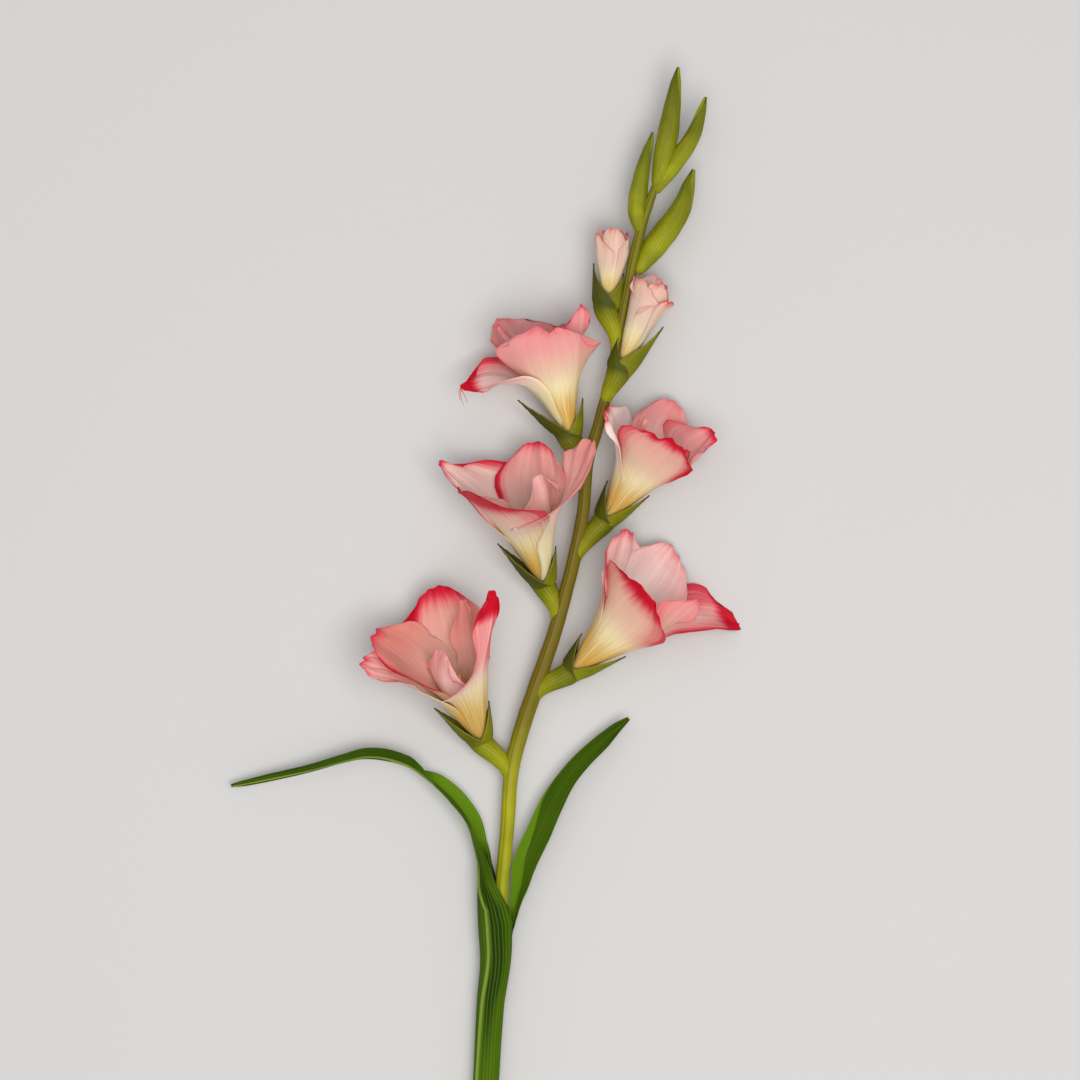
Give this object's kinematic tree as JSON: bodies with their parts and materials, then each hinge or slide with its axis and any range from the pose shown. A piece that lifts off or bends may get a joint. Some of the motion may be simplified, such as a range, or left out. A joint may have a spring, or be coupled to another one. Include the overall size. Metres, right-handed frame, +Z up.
{
  "type": "cut gladiolus",
  "caption": "Cut gladiolus spike lying down: funnel-shaped pink and cream flowers, furled and closed buds up one curved stem, and two long leaves sheathing its foot.",
  "frame": {"origin": "centre of the spike's outline seen from above, on the table it lies on", "axes": "+Y along the spike towards its tip, +Z up from the table, +X to the right of the spike seen from above"},
  "size_m": [0.3314, 0.8001, 0.1031],
  "materials": {
    "stem": "satin",
    "leaf": "satin",
    "bract": "satin",
    "bud": "satin",
    "petal": "satin",
    "furled_petal": "satin",
    "stamen": "matte"
  },
  "bodies": {
    "root": {"stem": "stem", "leaf_right": "leaf", "leaf_left": "leaf", "floret_1": "petal", "floret_2": "petal", "floret_3": "petal", "floret_4": "petal", "floret_5": "petal", "stamens_1": "stamen", "stamens_2": "stamen", "stamens_3": "stamen", "stamens_4": "stamen", "stamens_5": "stamen", "calyx_1": "bract", "calyx_2": "bract", "calyx_3": "bract", "calyx_4": "bract", "calyx_5": "bract", "calyx_6": "bract", "calyx_7": "bract", "half_bud_1": "furled_petal", "half_bud_2": "furled_petal", "bud_1": "bud", "bud_2": "bud", "bud_3": "bud", "bud_4": "bud"}
  },
  "joints": []
}
